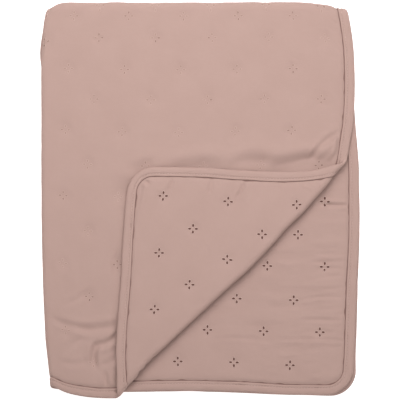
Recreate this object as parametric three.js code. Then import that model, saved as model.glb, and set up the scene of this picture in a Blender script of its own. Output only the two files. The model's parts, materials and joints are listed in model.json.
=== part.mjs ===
import * as THREE from 'three';
import { mergeVertices } from 'three/addons/utils/BufferGeometryUtils.js';

// A quilted cotton throw with a bound edge, in millimetres, +Z up. It is folded to the left and again
// at the top, which makes four layers, and the bottom right corner of its top layer is turned back over it.
// The cloth is drawn flat first: u runs away from the left fold and v away from the top fold, and n is
// the height over the middle of the cloth, towards its back face. place() then folds each point.

// The flat cloth
const clothWidth = 800;
const clothLength = 1000;
const cornerRadius = 32;
const cornerSteps = 6;
const clothThickness = 5;
const layerGap = 1;
const foldGap = 1.2;
const halfWidth = clothWidth / 2;
const halfLength = clothLength / 2;
const halfThickness = clothThickness / 2;

// The two folds: radius at the middle of the cloth on the left, of the doubled cloth at the top
const leftFoldRadius = (clothThickness + layerGap) / 2;
const topFoldRadius = clothThickness + (layerGap + foldGap) / 2;
const leftFoldTurn = (leftFoldRadius * Math.PI) / 2;
const topFoldTurn = (topFoldRadius * Math.PI) / 2;
const middleHeight = topFoldRadius + leftFoldRadius + halfThickness;
const foldSteps = 8;

// The corner turned back: a point of the fold's outline, its direction, and how it settles below
const turnedPoint = new THREE.Vector2(173.8, 36.7);
const turnedAngle = THREE.MathUtils.degToRad(46.04);
const turnedRadius = 4.5;
const turnedSettleRun = 75;
const turnedSteps = 8;

// How far that fold's outline bulges out, at lengths along it from the point on it. The bulge dies away in
// the cloth on both sides of the fold.
const bulgeRun = 70;
const turnedEdge = [
  { along: 0, bulge: 0 },
  { along: 20, bulge: 2.5 },
  { along: 45, bulge: 3.6 },
  { along: 70, bulge: 4.8 },
  { along: 96, bulge: 3.6 },
  { along: 121, bulge: 5 },
  { along: 172, bulge: 5.1 },
  { along: 197, bulge: 3 },
  { along: 247, bulge: 0.2 },
  { along: 298, bulge: -2.3 },
  { along: 336, bulge: -4 },
  { along: 374, bulge: -2.3 },
  { along: 410, bulge: 0 },
];

// The binding, measured inwards from the edge of the throw. It is as thick as the quilted cloth, so that
// the lowest layer rests on both.
const bindingWidth = 12.5;
const bindingHalf = halfThickness;
const bindingEdgeHalf = 1.4;
const bindingCloth = 0.8;
const bindingBack = 2.2;
const clearance = 0.4;

// The quilting: four-petal eyelets in staggered rows pull the cloth together
const motifPitch = 71.4;
const rowPitch = 41.5;
const dimpleDepth = 1.1;
const dimpleRadius = 16;
const puffRun = 6;
const edgeRamp = 3;

// How the stack of layers is thicker towards the folds, as shares of its height, with long low waves
const leanUp = 0.07;
const leanLeft = 0.04;
const waveShare = 0.02;
const waveAcross = 58;
const waveDown = 74;

// Where the free edges on the right lie, for each layer from the top, on the way down from the top fold
const rightEdges = [
  { down: 0, first: 186, second: 185, third: 184, fourth: 184 },
  { down: 0.1, first: 193.3, second: 188, third: 188, fourth: 187 },
  { down: 0.2, first: 195, second: 193, third: 191, fourth: 190 },
  { down: 0.3, first: 193, second: 196.5, third: 195, fourth: 193 },
  { down: 0.4, first: 186, second: 200.4, third: 200, fourth: 198 },
  { down: 0.5, first: 178.5, second: 201.3, third: 202, fourth: 200.5 },
  { down: 0.6, first: 176.8, second: 200.8, third: 202, fourth: 202 },
  { down: 0.7, first: 179.5, second: 198.2, third: 200, fourth: 200.5 },
  { down: 0.8, first: 184.6, second: 196.4, third: 198.5, fourth: 199.5 },
  { down: 0.9, first: 187.5, second: 194.6, third: 197, fourth: 198 },
  { down: 1, first: 189, second: 191, third: 196, fourth: 197.5 },
];

// Where the free edges at the bottom lie, for each layer from the top, on the way from the left fold
const bottomEdges = [
  { across: 0, first: -234, second: -236, third: -238, fourth: -238 },
  { across: 0.05, first: -243, second: -239, third: -241, fourth: -240 },
  { across: 0.12, first: -248.3, second: -241, third: -242, fourth: -242 },
  { across: 0.2, first: -250.6, second: -242, third: -243, fourth: -244 },
  { across: 0.45, first: -249.4, second: -240.8, third: -242.5, fourth: -243 },
  { across: 0.63, first: -242.2, second: -242.5, third: -244, fourth: -245 },
  { across: 0.78, first: -236.8, second: -246, third: -247, fourth: -247.5 },
  { across: 0.9, first: -231.5, second: -246.4, third: -247.5, fourth: -248.5 },
  { across: 1, first: -225, second: -245.4, third: -247, fourth: -248.5 },
];

// The outline of the left fold, for the upper pair of layers and the lower pair
const leftFolds = [
  { down: 0, upper: -196, lower: -196 },
  { down: 0.04, upper: -198.4, lower: -199.5 },
  { down: 0.11, upper: -200.2, lower: -203.8 },
  { down: 0.18, upper: -200.8, lower: -200.5 },
  { down: 0.5, upper: -200.6, lower: -199 },
  { down: 0.75, upper: -198.4, lower: -197.5 },
  { down: 0.88, upper: -195.4, lower: -195 },
  { down: 0.95, upper: -192.2, lower: -193 },
  { down: 1, upper: -188.5, lower: -191 },
];

// The outline of the top fold
const topFold = [
  { across: 0, outline: 241.5 },
  { across: 0.05, outline: 250 },
  { across: 0.12, outline: 250.8 },
  { across: 0.5, outline: 250.9 },
  { across: 0.82, outline: 251.2 },
  { across: 0.92, outline: 248.8 },
  { across: 0.97, outline: 244.4 },
  { across: 1, outline: 243 },
];

const cottonPink = new THREE.Color(0.745, 0.612, 0.565);
const bindingPink = new THREE.Color(0.722, 0.58, 0.533);

// A smooth curve through one column of a table
function readTable(table, key, column, at) {
  const last = table.length - 1;
  let row = 0;
  while (row < last - 1 && table[row + 1][key] < at) {
    row += 1;
  }
  const slopeAt = (index) => {
    const before = table[Math.max(index - 1, 0)];
    const after = table[Math.min(index + 1, last)];
    return (after[column] - before[column]) / (after[key] - before[key]);
  };
  const start = table[row];
  const end = table[row + 1];
  const span = end[key] - start[key];
  const t = THREE.MathUtils.clamp((at - start[key]) / span, 0, 1);
  const keepStart = (1 + 2 * t) * (1 - t) ** 2;
  const leaveStart = t * (1 - t) ** 2;
  const keepEnd = t * t * (3 - 2 * t);
  const reachEnd = t * t * (t - 1);
  const values = keepStart * start[column] + keepEnd * end[column];
  return values + span * (leaveStart * slopeAt(row) + reachEnd * slopeAt(row + 1));
}

// How much thicker or thinner than usual the whole stack lies at a point of the plan
function swell(x, y) {
  const lean = (leanUp * y) / halfLength - (leanLeft * x) / halfWidth;
  return 1 + lean + waveShare * Math.sin(x / waveAcross + 1) * Math.cos(y / waveDown);
}

// Folds the point u, v, n of the flat cloth, all but the corner that is turned back
function foldInFour(u, v, n) {
  const leftRound = Math.min(Math.abs(u), leftFoldTurn) / leftFoldRadius;
  const leftReach = Math.max(Math.abs(u) - leftFoldTurn, 0);
  const fromLeft = leftFoldRadius - (leftFoldRadius + n) * Math.cos(leftRound) + leftReach;
  const offPair = Math.sign(u) * (leftFoldRadius + n) * Math.sin(leftRound);

  const topRound = Math.min(Math.abs(v), topFoldTurn) / topFoldRadius;
  const topReach = Math.max(Math.abs(v) - topFoldTurn, 0);
  const fromTop = topFoldRadius - (topFoldRadius + offPair) * Math.cos(topRound) + topReach;
  const z = middleHeight + Math.sign(v) * (topFoldRadius + offPair) * Math.sin(topRound);

  const upper = THREE.MathUtils.smoothstep(v, -topFoldTurn, topFoldTurn);
  const outer = THREE.MathUtils.smoothstep(u, -leftFoldTurn, leftFoldTurn);
  const down = Math.abs(v) / halfLength;
  const across = Math.abs(u) / halfWidth;
  const ofLayers = (table, key, at) => {
    const [first, second, third, fourth] = ['first', 'second', 'third', 'fourth'].map((layer) =>
      readTable(table, key, layer, at),
    );
    const upperPair = THREE.MathUtils.lerp(second, first, outer);
    const lowerPair = THREE.MathUtils.lerp(third, fourth, outer);
    return THREE.MathUtils.lerp(lowerPair, upperPair, upper);
  };
  const leftLow = readTable(leftFolds, 'down', 'lower', down);
  const leftHigh = readTable(leftFolds, 'down', 'upper', down);
  const left = THREE.MathUtils.lerp(leftLow, leftHigh, upper) + halfThickness;
  const right = ofLayers(rightEdges, 'down', down);
  const top = readTable(topFold, 'across', 'outline', across) - leftFoldRadius - halfThickness;
  const bottom = ofLayers(bottomEdges, 'across', across);
  const fullAcross = leftFoldRadius + halfWidth - leftFoldTurn;
  const fullDown = topFoldRadius + halfLength - topFoldTurn;
  const x = left + ((right - left) * fromLeft) / fullAcross;
  const y = top - ((top - bottom) * fromTop) / fullDown;
  return new THREE.Vector3(x, y, z);
}

const towardsCorner = new THREE.Vector2(Math.sin(turnedAngle), -Math.cos(turnedAngle));
const turnedStart = turnedPoint.clone().addScaledVector(towardsCorner, -(turnedRadius + halfThickness));

// How far past the start of the turned corner's fold a point of the top layer lies
function pastTurn(u, v) {
  const flat = foldInFour(u, v, 0);
  return (flat.x - turnedStart.x) * towardsCorner.x + (flat.y - turnedStart.y) * towardsCorner.y;
}

// How far the cloth round the turned corner's fold bulges towards the corner
function turnedBulge(u, v, past) {
  const flat = foldInFour(u, v, 0);
  const along = (flat.x - turnedPoint.x) * towardsCorner.y - (flat.y - turnedPoint.y) * towardsCorner.x;
  const away = Math.max(-past, past - Math.PI * turnedRadius, 0);
  const kept = 1 - THREE.MathUtils.smoothstep(away, 0, bulgeRun);
  return kept * readTable(turnedEdge, 'along', 'bulge', along);
}

// Rolls the corner of the top layer over and lays it down on that layer
function turnBack(point, past, n) {
  const half = Math.PI * turnedRadius;
  const turn = Math.min(past, half) / turnedRadius;
  const beyond = Math.max(past - half, 0);
  const slack = 2 * turnedRadius - clothThickness - layerGap;
  const settled = slack * THREE.MathUtils.smoothstep(beyond, 0, turnedSettleRun);
  const radius = turnedRadius - n;
  const shift = radius * Math.sin(turn) - past - beyond;
  const x = point.x + shift * towardsCorner.x;
  const y = point.y + shift * towardsCorner.y;
  const z = point.z - n + turnedRadius - radius * Math.cos(turn) - settled;
  return new THREE.Vector3(x, y, z);
}

// Folds the point u, v, n of the flat cloth all the way
function place(u, v, n) {
  let point = foldInFour(u, v, n);
  if (u > leftFoldTurn && v > topFoldTurn) {
    const past = pastTurn(u, v);
    if (past > 0) {
      point = turnBack(point, past, n);
    }
    const bulge = turnedBulge(u, v, past);
    point.x += bulge * towardsCorner.x;
    point.y += bulge * towardsCorner.y;
  }
  point.z *= swell(point.x, point.y);
  return point;
}

// How far inside the edge of the flat throw a point lies
function inwards(u, v) {
  const beyondU = Math.abs(u) - (halfWidth - cornerRadius);
  const beyondV = Math.abs(v) - (halfLength - cornerRadius);
  const round = Math.hypot(Math.max(beyondU, 0), Math.max(beyondV, 0));
  return cornerRadius - round - Math.min(Math.max(beyondU, beyondV), 0);
}

// The rows of eyelets on the two halves of the cloth: where a row and a column start
const outerMotifs = { column: 32, row: halfLength - 46 };
const innerMotifs = { column: 66, row: halfLength - 38 };

// The distance from a point to the nearest eyelet
function toMotif(u, v) {
  const motifs = u > 0 ? outerMotifs : innerMotifs;
  const row = Math.round((motifs.row - v) / rowPitch);
  let nearest = Infinity;
  for (const near of [row - 1, row, row + 1]) {
    const start = motifs.column + (near % 2 === 0 ? motifPitch / 2 : 0);
    const column = Math.round((Math.abs(u) - start) / motifPitch);
    const acrossGap = Math.abs(u) - start - column * motifPitch;
    const downGap = v - motifs.row + near * rowPitch;
    nearest = Math.min(nearest, Math.hypot(acrossGap, downGap));
  }
  return nearest;
}

// Half the thickness of the quilted cloth: thin inside the binding, full from a little way in
function panelHalf(u, v) {
  const bound = bindingHalf - bindingCloth - clearance;
  const inner = inwards(u, v) - bindingWidth - clearance;
  const rise = (halfThickness - bound) * (1 - Math.exp(-Math.max(inner, 0) / puffRun));
  return bound + rise;
}

// The dimple that an eyelet makes in the two faces of the upper layers
function dimple(u, v) {
  const strength = THREE.MathUtils.smoothstep(v, topFoldTurn, 2 * topFoldTurn);
  const open = THREE.MathUtils.smoothstep(inwards(u, v), bindingWidth, bindingWidth + dimpleRadius);
  return dimpleDepth * strength * open * Math.max(1 - toMotif(u, v) / dimpleRadius, 0);
}

// Half the thickness of the binding, which is rounded off at the throw's edge
function bindingOuter(u, v) {
  const round = Math.min(inwards(u, v) / bindingBack, 1);
  return bindingEdgeHalf + (bindingHalf - bindingEdgeHalf) * round;
}

// Corners of the flat pattern this near to a cut are moved onto it, in millimetres
const plainSnap = 0.5;
const edgeSnap = 0.8;
const turnSnap = 0.4;
const raySnap = 0.1;

function everywhere() {
  return true;
}

function middleOf(points, cell) {
  const middle = { u: 0, v: 0 };
  for (const index of cell) {
    middle.u += points[index].u / cell.length;
    middle.v += points[index].v / cell.length;
  }
  return middle;
}

// Moves a point the short way onto the line where the field reaches the level
function slideOnto(point, field, level) {
  const step = 0.01;
  const off = field(point.u, point.v) - level;
  const slopeU = (field(point.u + step, point.v) - field(point.u - step, point.v)) / (2 * step);
  const slopeV = (field(point.u, point.v + step) - field(point.u, point.v - step)) / (2 * step);
  const steepness = slopeU ** 2 + slopeV ** 2;
  point.u -= (off * slopeU) / steepness;
  point.v -= (off * slopeV) / steepness;
}

// The point between two others where the field reaches the level
function crossing(start, end, field, level) {
  const startSide = Math.sign(field(start.u, start.v) - level);
  let low = 0;
  let high = 1;
  const at = (t) => ({ u: start.u + (end.u - start.u) * t, v: start.v + (end.v - start.v) * t });
  for (let round = 0; round < 40; round += 1) {
    const t = (low + high) / 2;
    const tried = at(t);
    if (Math.sign(field(tried.u, tried.v) - level) === startSide) {
      low = t;
    } else {
      high = t;
    }
  }
  return at((low + high) / 2);
}

// Cuts the chosen cells of the flat pattern along the line where the field reaches the level. Neighbours
// get the new corners too, so the pattern stays whole. With keepAbove, what lies below is dropped.
function cut(pattern, field, level, { chosen = everywhere, snap = plainSnap, keepAbove = false } = {}) {
  const { points } = pattern;
  const isChosen = pattern.cells.map((cell) => chosen(middleOf(points, cell)));
  const touched = new Set(pattern.cells.filter((cell, index) => isChosen[index]).flat());
  const height = points.map((point, index) => (touched.has(index) ? field(point.u, point.v) - level : 1));
  for (const index of touched) {
    if (Math.abs(height[index]) < snap) {
      slideOnto(points[index], field, level);
      height[index] = 0;
    }
  }
  const edgeName = (a, b) => `${Math.min(a, b)}_${Math.max(a, b)}`;
  const crossings = new Map();
  pattern.cells.forEach((cell, index) => {
    if (!isChosen[index]) {
      return;
    }
    cell.forEach((a, corner) => {
      const b = cell[(corner + 1) % cell.length];
      if (height[a] * height[b] < 0 && !crossings.has(edgeName(a, b))) {
        crossings.set(edgeName(a, b), points.length);
        points.push(crossing(points[a], points[b], field, level));
        height.push(0);
      }
    });
  });
  const cells = [];
  pattern.cells.forEach((cell, index) => {
    const loop = [];
    cell.forEach((a, corner) => {
      const b = cell[(corner + 1) % cell.length];
      loop.push(a);
      if (crossings.has(edgeName(a, b))) {
        loop.push(crossings.get(edgeName(a, b)));
      }
    });
    if (!isChosen[index]) {
      cells.push(loop);
      return;
    }
    for (const side of keepAbove ? [1] : [1, -1]) {
      if (loop.some((corner) => height[corner] * side > 0)) {
        cells.push(loop.filter((corner) => height[corner] * side >= 0));
      }
    }
  });
  pattern.cells = cells;
}

// Levels from start in even steps, between two limits
function evenLevels(start, step, lowest, highest) {
  const levels = [];
  const first = start + Math.ceil((lowest - start) / step) * step;
  for (let level = first; level <= highest; level += step) {
    levels.push(level);
  }
  return levels;
}

const alongU = (u) => u;
const alongV = (u, v) => v;
const sizeU = (u) => Math.abs(u);
const sizeV = (u, v) => Math.abs(v);

// The flat cloth cut into cells: narrow ones round the folds, four to an eyelet where it shows, and wide
// ones in the two hidden layers
function flatPattern() {
  const pattern = {
    points: [
      { u: -halfWidth, v: -halfLength },
      { u: halfWidth, v: -halfLength },
      { u: halfWidth, v: halfLength },
      { u: -halfWidth, v: halfLength },
    ],
    cells: [[0, 1, 2, 3]],
  };
  for (let step = 0; step <= foldSteps; step += 1) {
    const share = (2 * step) / foldSteps - 1;
    cut(pattern, alongU, leftFoldTurn * share);
    cut(pattern, alongV, topFoldTurn * share);
  }
  const cornerU = halfWidth - cornerRadius;
  const cornerV = halfLength - cornerRadius;
  cut(pattern, sizeU, cornerU);
  cut(pattern, sizeV, cornerV);

  const room = 5;
  const lowU = leftFoldTurn + room;
  const lowV = topFoldTurn + room;
  const isUpper = (at) => at.v > -topFoldTurn;
  const isOuter = (at) => isUpper(at) && at.u > -leftFoldTurn;
  const isInner = (at) => isUpper(at) && at.u < -leftFoldTurn;
  const isUncovered = (at) => isInner(at) && pastTurn(-at.u, at.v) > -motifPitch / 2;
  const isLower = (at) => !isUpper(at);
  const grids = [
    { motifs: outerMotifs, cellsPerMotif: 4, chosen: isOuter },
    { motifs: innerMotifs, cellsPerMotif: 2, chosen: isInner },
    { motifs: innerMotifs, cellsPerMotif: 4, chosen: isUncovered },
    { motifs: outerMotifs, cellsPerMotif: 2, chosen: isLower },
  ];
  for (const { motifs, cellsPerMotif, chosen } of grids) {
    for (const level of evenLevels(motifs.column, motifPitch / cellsPerMotif, lowU, cornerU - room)) {
      cut(pattern, sizeU, level, { chosen });
    }
    for (const level of evenLevels(motifs.row, (2 * rowPitch) / cellsPerMotif, lowV, cornerV - room)) {
      cut(pattern, sizeV, level, { chosen });
    }
  }

  const inCorner = (at) => Math.abs(at.u) > cornerU && Math.abs(at.v) > cornerV;
  for (let step = 1; step < cornerSteps; step += 1) {
    const angle = (Math.PI / 2) * (step / cornerSteps);
    const along = { u: Math.cos(angle), v: Math.sin(angle) };
    const ray = (u, v) => (Math.abs(v) - cornerV) * along.u - (Math.abs(u) - cornerU) * along.v;
    cut(pattern, ray, 0, { chosen: inCorner, snap: raySnap });
  }

  const topLayer = (at) => at.u > leftFoldTurn && at.v > topFoldTurn;
  for (let step = 0; step <= turnedSteps; step += 1) {
    const level = (Math.PI * turnedRadius * step) / turnedSteps;
    cut(pattern, pastTurn, level, { chosen: topLayer, snap: turnSnap });
  }
  return pattern;
}

function areaOf(points, a, b, c) {
  const wide = (points[b].u - points[a].u) * (points[c].v - points[a].v);
  const high = (points[c].u - points[a].u) * (points[b].v - points[a].v);
  return (wide - high) / 2;
}

// Splits each cell into triangles, round a new middle point where it has more than four corners
function triangulate(pattern) {
  const { points } = pattern;
  const triangles = [];
  for (const cell of pattern.cells) {
    if (cell.length === 3) {
      triangles.push(cell);
    } else if (cell.length === 4) {
      const [a, b, c, d] = cell;
      const straight = Math.min(areaOf(points, a, b, c), areaOf(points, a, c, d));
      const crossed = Math.min(areaOf(points, a, b, d), areaOf(points, b, c, d));
      triangles.push(...(straight > crossed ? [[a, b, c], [a, c, d]] : [[a, b, d], [b, c, d]]));
    } else {
      const middle = points.length;
      points.push(middleOf(points, cell));
      cell.forEach((a, corner) => triangles.push([middle, a, cell[(corner + 1) % cell.length]]));
    }
  }
  return triangles;
}

// The edges that only one triangle has, each with the cloth on its left
function borderOf(triangles) {
  const edges = new Map();
  for (const triangle of triangles) {
    triangle.forEach((a, corner) => {
      const b = triangle[(corner + 1) % 3];
      edges.set(`${a}_${b}`, [a, b]);
    });
  }
  return [...edges.values()].filter(([a, b]) => !edges.has(`${b}_${a}`));
}

// Collects the folded faces of one closed piece
class FoldedPiece {
  constructor(points) {
    this.points = points;
    this.corners = [];
  }

  corner(index, height) {
    const { u, v } = this.points[index];
    this.corners.push(...place(u, v, height(u, v)).toArray());
  }

  // A face at some height over the flat triangles, looking towards the back of the cloth or its front
  face(triangles, height, towardsBack) {
    for (const triangle of triangles) {
      const turned = towardsBack ? [...triangle].reverse() : triangle;
      turned.forEach((index) => this.corner(index, height));
    }
  }

  // A wall over border edges, from the front height to the back one. It looks away from the cloth, or
  // towards it where it closes a slot.
  wall(edges, front, back, towardsCloth = false) {
    for (const [a, b] of edges) {
      const ends = [a, a, b, a, b, b];
      const heights = [front, back, back, front, back, front];
      const order = towardsCloth ? [0, 2, 1, 3, 5, 4] : [0, 1, 2, 3, 4, 5];
      order.forEach((corner) => this.corner(ends[corner], heights[corner]));
    }
  }

  geometry() {
    const loose = new THREE.BufferGeometry();
    loose.setAttribute('position', new THREE.Float32BufferAttribute(this.corners, 3));
    const merged = mergeVertices(loose, 0.001);
    merged.computeVertexNormals();
    return merged;
  }
}

// The quilted cloth, which ends inside the binding
function quiltGeometry() {
  const pattern = flatPattern();
  const thin = bindingWidth + clearance;
  cut(pattern, inwards, bindingBack + clearance, { keepAbove: true, snap: edgeSnap });
  cut(pattern, inwards, thin, { snap: edgeSnap });
  cut(pattern, inwards, thin + edgeRamp, { snap: edgeSnap });
  const triangles = triangulate(pattern);
  const piece = new FoldedPiece(pattern.points);
  const back = (u, v) => panelHalf(u, v) - dimple(u, v);
  const front = (u, v) => -back(u, v);
  piece.face(triangles, back, true);
  piece.face(triangles, front, false);
  piece.wall(borderOf(triangles), front, back);
  return piece.geometry();
}

// The binding, a strip folded over the edge of the cloth on both faces
function bindingGeometry() {
  const pattern = flatPattern();
  cut(pattern, inwards, 0, { keepAbove: true, snap: edgeSnap });
  cut(pattern, inwards, bindingBack, { snap: edgeSnap });
  cut(pattern, (u, v) => -inwards(u, v), -bindingWidth, { keepAbove: true, snap: edgeSnap });
  const triangles = triangulate(pattern);
  const overCloth = triangles.filter((triangle) => {
    const inside = middleOf(pattern.points, triangle);
    return inwards(inside.u, inside.v) > bindingBack;
  });
  const depthOf = (index) => inwards(pattern.points[index].u, pattern.points[index].v);
  const isNear = (level) => ([a]) => Math.abs(depthOf(a) - level) < 1;
  const outerEdge = borderOf(triangles).filter(isNear(0));
  const innerEdge = borderOf(triangles).filter(isNear(bindingWidth));
  const slotEdge = borderOf(overCloth).filter(isNear(bindingBack));
  const back = bindingOuter;
  const front = (u, v) => -bindingOuter(u, v);
  const slotBack = () => bindingHalf - bindingCloth;
  const slotFront = () => bindingCloth - bindingHalf;
  const piece = new FoldedPiece(pattern.points);
  piece.face(triangles, back, true);
  piece.face(triangles, front, false);
  piece.face(overCloth, slotBack, false);
  piece.face(overCloth, slotFront, true);
  piece.wall(outerEdge, front, back);
  piece.wall(innerEdge, front, slotFront);
  piece.wall(innerEdge, slotBack, back);
  piece.wall(slotEdge, slotFront, slotBack, true);
  return piece.geometry();
}

function cottonMesh(name, geometry, color) {
  const material = new THREE.MeshStandardMaterial({ color, roughness: 0.9, metalness: 0 });
  const mesh = new THREE.Mesh(geometry, material);
  mesh.name = name;
  return mesh;
}

const group = new THREE.Group();
group.add(cottonMesh('quilt', quiltGeometry(), cottonPink));
group.add(cottonMesh('binding', bindingGeometry(), bindingPink));

// The origin is in the middle of the underside
const box = new THREE.Box3().setFromObject(group, true);
const middle = box.getCenter(new THREE.Vector3());
group.position.set(-middle.x, -middle.y, -box.min.z);

export default group;
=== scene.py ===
import json
import math

import bmesh
import bpy
import numpy as np
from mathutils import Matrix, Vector

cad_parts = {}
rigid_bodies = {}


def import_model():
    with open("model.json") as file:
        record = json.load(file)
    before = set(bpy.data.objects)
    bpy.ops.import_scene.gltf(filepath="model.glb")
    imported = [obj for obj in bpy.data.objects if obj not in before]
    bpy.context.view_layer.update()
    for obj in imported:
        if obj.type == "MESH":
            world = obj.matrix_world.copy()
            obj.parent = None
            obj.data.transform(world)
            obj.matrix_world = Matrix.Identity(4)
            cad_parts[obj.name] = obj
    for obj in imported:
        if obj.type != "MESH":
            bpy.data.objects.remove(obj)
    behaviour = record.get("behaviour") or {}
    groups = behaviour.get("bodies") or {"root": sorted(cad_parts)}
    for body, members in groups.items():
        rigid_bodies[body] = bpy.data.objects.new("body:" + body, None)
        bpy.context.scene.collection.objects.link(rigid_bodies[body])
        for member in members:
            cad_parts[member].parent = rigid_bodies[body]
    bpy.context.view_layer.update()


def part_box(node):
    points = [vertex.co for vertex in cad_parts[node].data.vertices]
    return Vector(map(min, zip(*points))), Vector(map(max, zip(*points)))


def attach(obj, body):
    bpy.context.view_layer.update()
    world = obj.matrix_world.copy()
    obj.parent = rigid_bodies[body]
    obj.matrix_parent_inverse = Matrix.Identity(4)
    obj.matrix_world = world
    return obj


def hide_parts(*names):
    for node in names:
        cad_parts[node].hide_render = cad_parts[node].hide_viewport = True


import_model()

mm = 0.001

# The throw is drawn flat and then folded. u runs from the left fold (+ on the outer half, - on the inner),
# v from the top fold (+ on the upper layers, - on the lower), n is the height over the middle of the cloth
# towards its back face. Everything is in millimetres until a mesh is made.

cloth = {
    "width": 800.0,
    "length": 1000.0,
    "thickness": 5.0,
    "cornerRadius": 32.0,
    "layerGap": 1.0,
    "foldGap": 1.2,
}

# the corner that is turned back: a point on the outline of its fold, the fold's direction and radius
turned = {
    "point": (173.8, 36.7),
    "angle": 46.04,
    "radius": 4.5,
    "settleRun": 75.0,
    "bulgeRun": 70.0,
}

stack = {"leanUp": 0.07, "leanLeft": 0.04, "wave": 0.02, "waveAcross": 58.0, "waveDown": 74.0}


# a table's rows as dictionaries, by the names of its columns
def namedRows(columns, rows):
    return [dict(zip(columns, row)) for row in rows]


# where the edges and folds of the layers lie in the photograph's plane, from the first (top) layer down
rightEdges = namedRows(("down", "first", "second", "third", "fourth"), [
    (0, 186, 185, 184, 184),
    (0.1, 193.3, 188, 188, 187),
    (0.2, 195, 193, 191, 190),
    (0.3, 193, 196.5, 195, 193),
    (0.4, 186, 200.4, 200, 198),
    (0.5, 178.5, 201.3, 202, 200.5),
    (0.6, 176.8, 200.8, 202, 202),
    (0.7, 179.5, 198.2, 200, 200.5),
    (0.8, 184.6, 196.4, 198.5, 199.5),
    (0.9, 187.5, 194.6, 197, 198),
    (1, 189, 191, 196, 197.5),
])
bottomEdges = namedRows(("across", "first", "second", "third", "fourth"), [
    (0, -234, -236, -238, -238),
    (0.05, -243, -239, -241, -240),
    (0.12, -248.3, -241, -242, -242),
    (0.2, -250.6, -242, -243, -244),
    (0.45, -249.4, -240.8, -242.5, -243),
    (0.63, -242.2, -242.5, -244, -245),
    (0.78, -236.8, -246, -247, -247.5),
    (0.9, -231.5, -246.4, -247.5, -248.5),
    (1, -225, -245.4, -247, -248.5),
])
leftFolds = namedRows(("down", "upper", "lower"), [
    (0, -196, -196),
    (0.04, -198.4, -199.5),
    (0.11, -200.2, -203.8),
    (0.18, -200.8, -200.5),
    (0.5, -200.6, -199),
    (0.75, -198.4, -197.5),
    (0.88, -195.4, -195),
    (0.95, -192.2, -193),
    (1, -188.5, -191),
])
topFold = namedRows(("across", "outline"), [
    (0, 241.5),
    (0.05, 250),
    (0.12, 250.8),
    (0.5, 250.9),
    (0.82, 251.2),
    (0.92, 248.8),
    (0.97, 244.4),
    (1, 243),
])

# how far the turned corner's fold bulges out of a straight line
turnedEdge = namedRows(("along", "bulge"), [
    (0, 0),
    (20, 2.5),
    (45, 3.6),
    (70, 4.8),
    (96, 3.6),
    (121, 5),
    (172, 5.1),
    (197, 3),
    (247, 0.2),
    (298, -2.3),
    (336, -4),
    (374, -2.3),
    (410, 0),
])

halfWidth = cloth["width"] / 2
halfLength = cloth["length"] / 2
halfThick = cloth["thickness"] / 2
straightU = halfWidth - cloth["cornerRadius"]
straightV = halfLength - cloth["cornerRadius"]
leftRadius = (cloth["thickness"] + cloth["layerGap"]) / 2
topRadius = cloth["thickness"] + (cloth["layerGap"] + cloth["foldGap"]) / 2
leftTurn = leftRadius * math.pi / 2
topTurn = topRadius * math.pi / 2
middleHeight = topRadius + leftRadius + halfThick
turnAngle = math.radians(turned["angle"])
towardsCorner = np.array([math.sin(turnAngle), -math.cos(turnAngle)])
turnStart = np.array(turned["point"]) - towardsCorner * (turned["radius"] + halfThick)


def smooth(x, low, high):
    t = np.clip((x - low) / (high - low), 0, 1)
    return t * t * (3 - 2 * t)


def mix(a, b, t):
    return a + (b - a) * t


# a smooth curve through one column of a table
def readTable(table, key, column, at):
    keys = np.array([row[key] for row in table], float)
    values = np.array([row[column] for row in table], float)
    last = len(table) - 1
    before = np.maximum(np.arange(last + 1) - 1, 0)
    after = np.minimum(np.arange(last + 1) + 1, last)
    slopes = (values[after] - values[before]) / (keys[after] - keys[before])
    row = np.clip(np.searchsorted(keys, at) - 1, 0, last - 1)
    span = keys[row + 1] - keys[row]
    t = np.clip((at - keys[row]) / span, 0, 1)
    held = (1 + 2 * t) * (1 - t) ** 2 * values[row] + t * t * (3 - 2 * t) * values[row + 1]
    return held + span * (t * (1 - t) ** 2 * slopes[row] + t * t * (t - 1) * slopes[row + 1])


# how much thicker or thinner than usual the stack of layers lies
def swell(x, y):
    lean = stack["leanUp"] * y / halfLength - stack["leanLeft"] * x / halfWidth
    waves = np.sin(x / stack["waveAcross"] + 1) * np.cos(y / stack["waveDown"])
    return 1 + lean + stack["wave"] * waves


# all the folding but the turned corner
def foldInFour(u, v, n):
    leftRound = np.minimum(abs(u), leftTurn) / leftRadius
    fromLeft = leftRadius - (leftRadius + n) * np.cos(leftRound) + np.maximum(abs(u) - leftTurn, 0)
    offPair = np.sign(u) * (leftRadius + n) * np.sin(leftRound)
    topRound = np.minimum(abs(v), topTurn) / topRadius
    fromTop = topRadius - (topRadius + offPair) * np.cos(topRound) + np.maximum(abs(v) - topTurn, 0)
    z = middleHeight + np.sign(v) * (topRadius + offPair) * np.sin(topRound)
    upper = smooth(v, -topTurn, topTurn)
    outer = smooth(u, -leftTurn, leftTurn)
    down = abs(v) / halfLength
    across = abs(u) / halfWidth

    def ofLayers(table, key, at):
        names = ("first", "second", "third", "fourth")
        first, second, third, fourth = (readTable(table, key, name, at) for name in names)
        return mix(mix(third, fourth, outer), mix(second, first, outer), upper)

    lowFold = readTable(leftFolds, "down", "lower", down)
    highFold = readTable(leftFolds, "down", "upper", down)
    left = mix(lowFold, highFold, upper) + halfThick
    right = ofLayers(rightEdges, "down", down)
    top = readTable(topFold, "across", "outline", across) - leftRadius - halfThick
    bottom = ofLayers(bottomEdges, "across", across)
    x = left + (right - left) * fromLeft / (leftRadius + halfWidth - leftTurn)
    y = top - (top - bottom) * fromTop / (topRadius + halfLength - topTurn)
    return x, y, z


# how far past the start of the turned corner's fold a point of the top layer lies
def pastTurn(u, v):
    x, y, z = foldInFour(u, v, 0 * u)
    return (x - turnStart[0]) * towardsCorner[0] + (y - turnStart[1]) * towardsCorner[1]


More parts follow.
